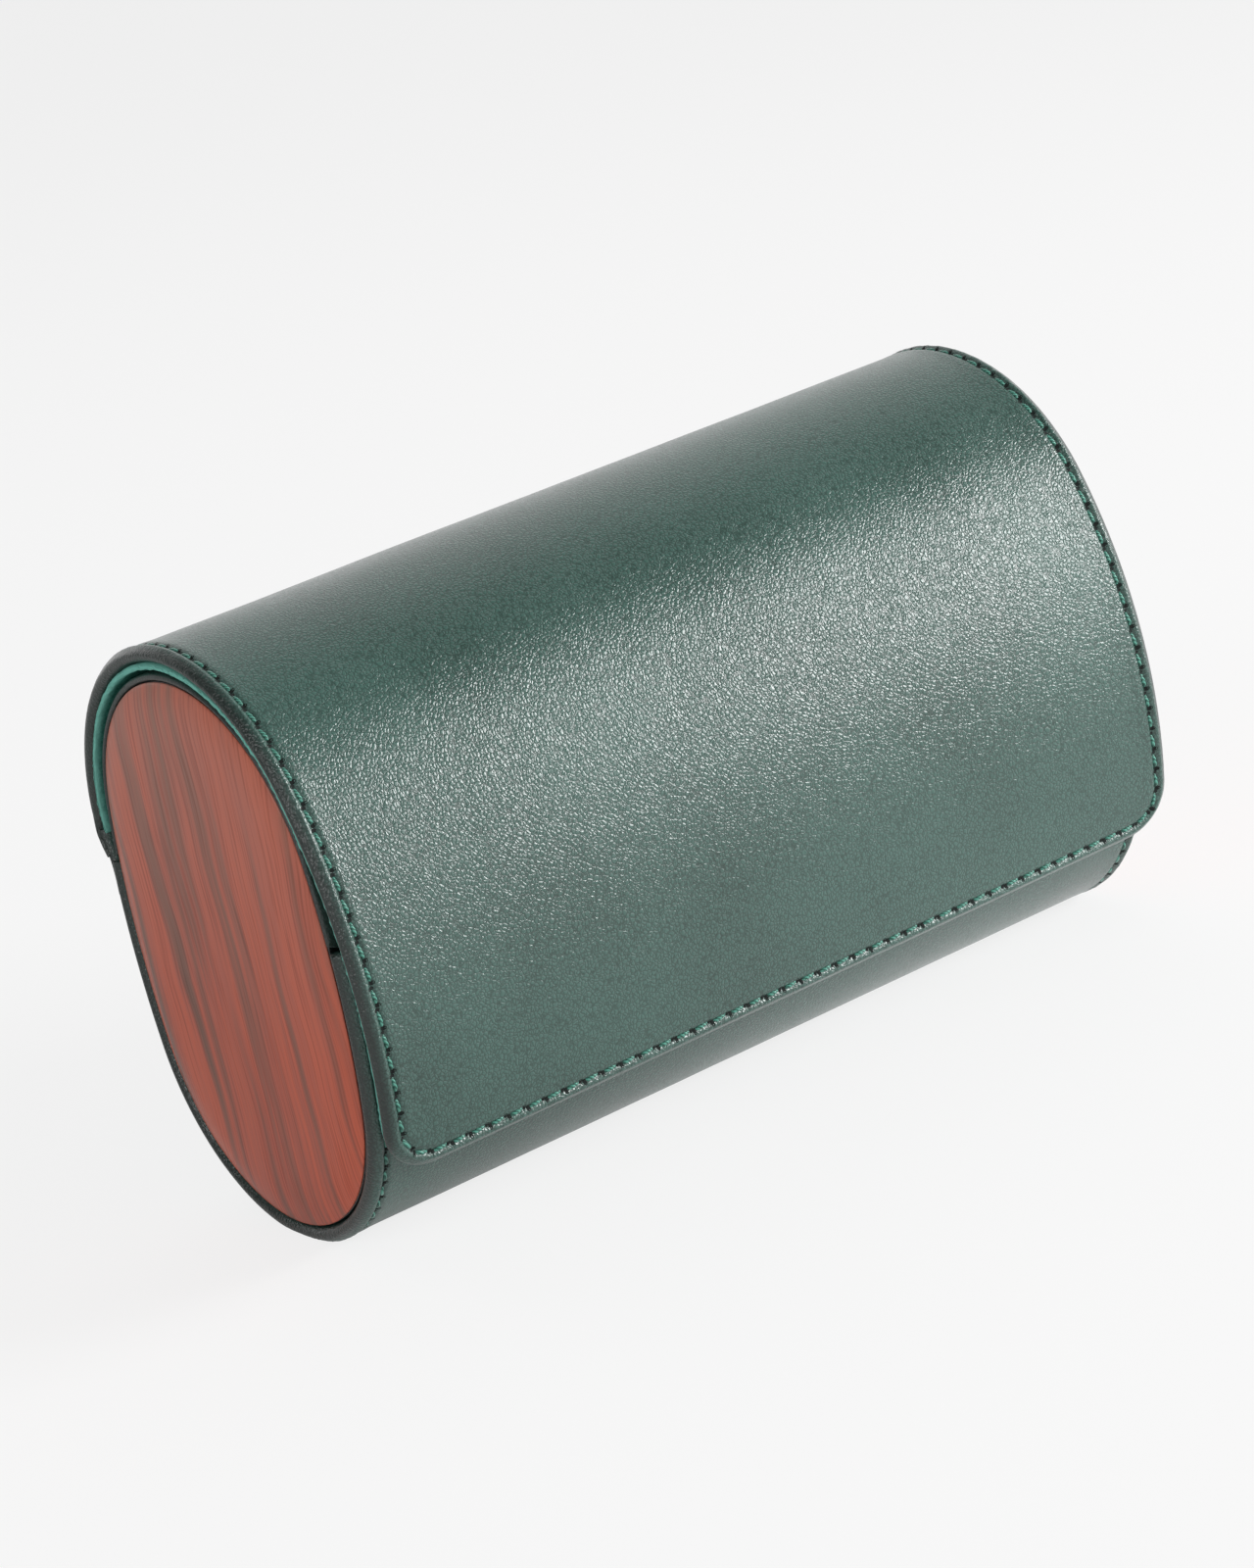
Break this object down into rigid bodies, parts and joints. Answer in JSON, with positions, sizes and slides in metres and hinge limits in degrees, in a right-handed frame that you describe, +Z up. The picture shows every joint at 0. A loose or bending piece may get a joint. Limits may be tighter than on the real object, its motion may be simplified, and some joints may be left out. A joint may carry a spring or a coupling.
{
  "type": "pocket watch display box",
  "caption": "Oval leather watch display box with wooden end plates, a wrap-over lid on a live hinge, and lift-out suede cushions on either side of a divider.",
  "frame": {"origin": "middle of the flat base, on the floor", "axes": "+X along the tube, +Y to the hinge at the back, +Z up"},
  "size_m": [0.1502, 0.0707, 0.0926],
  "materials": {
    "leather": "satin",
    "rim_leather": "matte",
    "suede": "matte",
    "wood": "gloss",
    "black_lacquer": "gloss",
    "board": "matte",
    "thread": "satin",
    "magnet": "satin",
    "foam": "matte"
  },
  "bodies": {
    "case": {"tray_board": "board", "tray_leather": "leather", "tray_lining": "suede", "lip_roll": "leather", "hinge_strip": "leather", "tray_thread_left": "thread", "tray_thread_right": "thread", "tray_magnet": "magnet", "end_wall_left": "board", "end_wall_right": "board", "end_cover_left": "rim_leather", "end_cover_right": "rim_leather", "end_lining_left": "suede", "end_lining_right": "suede", "end_plate_left": "black_lacquer", "end_plate_right": "black_lacquer", "wood_face_left": "wood", "wood_face_right": "wood", "divider_board": "board", "divider_suede_left": "suede", "divider_suede_right": "suede"},
    "lid": {"lid_board": "board", "lid_leather": "leather", "lid_lining": "suede", "lid_thread": "thread", "lid_magnet": "magnet"},
    "cushion_left": {"cushion_cover_left": "suede", "cushion_core_left": "foam", "cushion_panels_left": "suede"},
    "cushion_right": {"cushion_cover_right": "suede", "cushion_core_right": "foam", "cushion_panels_right": "suede"}
  },
  "joints": [
    {"name": "lid_hinge", "type": "hinge", "parent": "case", "child": "lid", "pos_m": [0, 0.03175, 0.05504], "axis": [-1, 0, 0], "range_deg": [0, 130]},
    {"name": "cushion_left_lift", "type": "slide", "parent": "case", "child": "cushion_left", "axis": [0, 0, 1], "range_m": [0, 0.06]},
    {"name": "cushion_right_lift", "type": "slide", "parent": "case", "child": "cushion_right", "axis": [0, 0, 1], "range_m": [0, 0.06]}
  ],
  "couplings": [
    {"joint": "cushion_left_lift", "follows": "lid_hinge", "m_per_rad": 0.0264},
    {"joint": "cushion_right_lift", "follows": "lid_hinge", "m_per_rad": 0.0264}
  ]
}
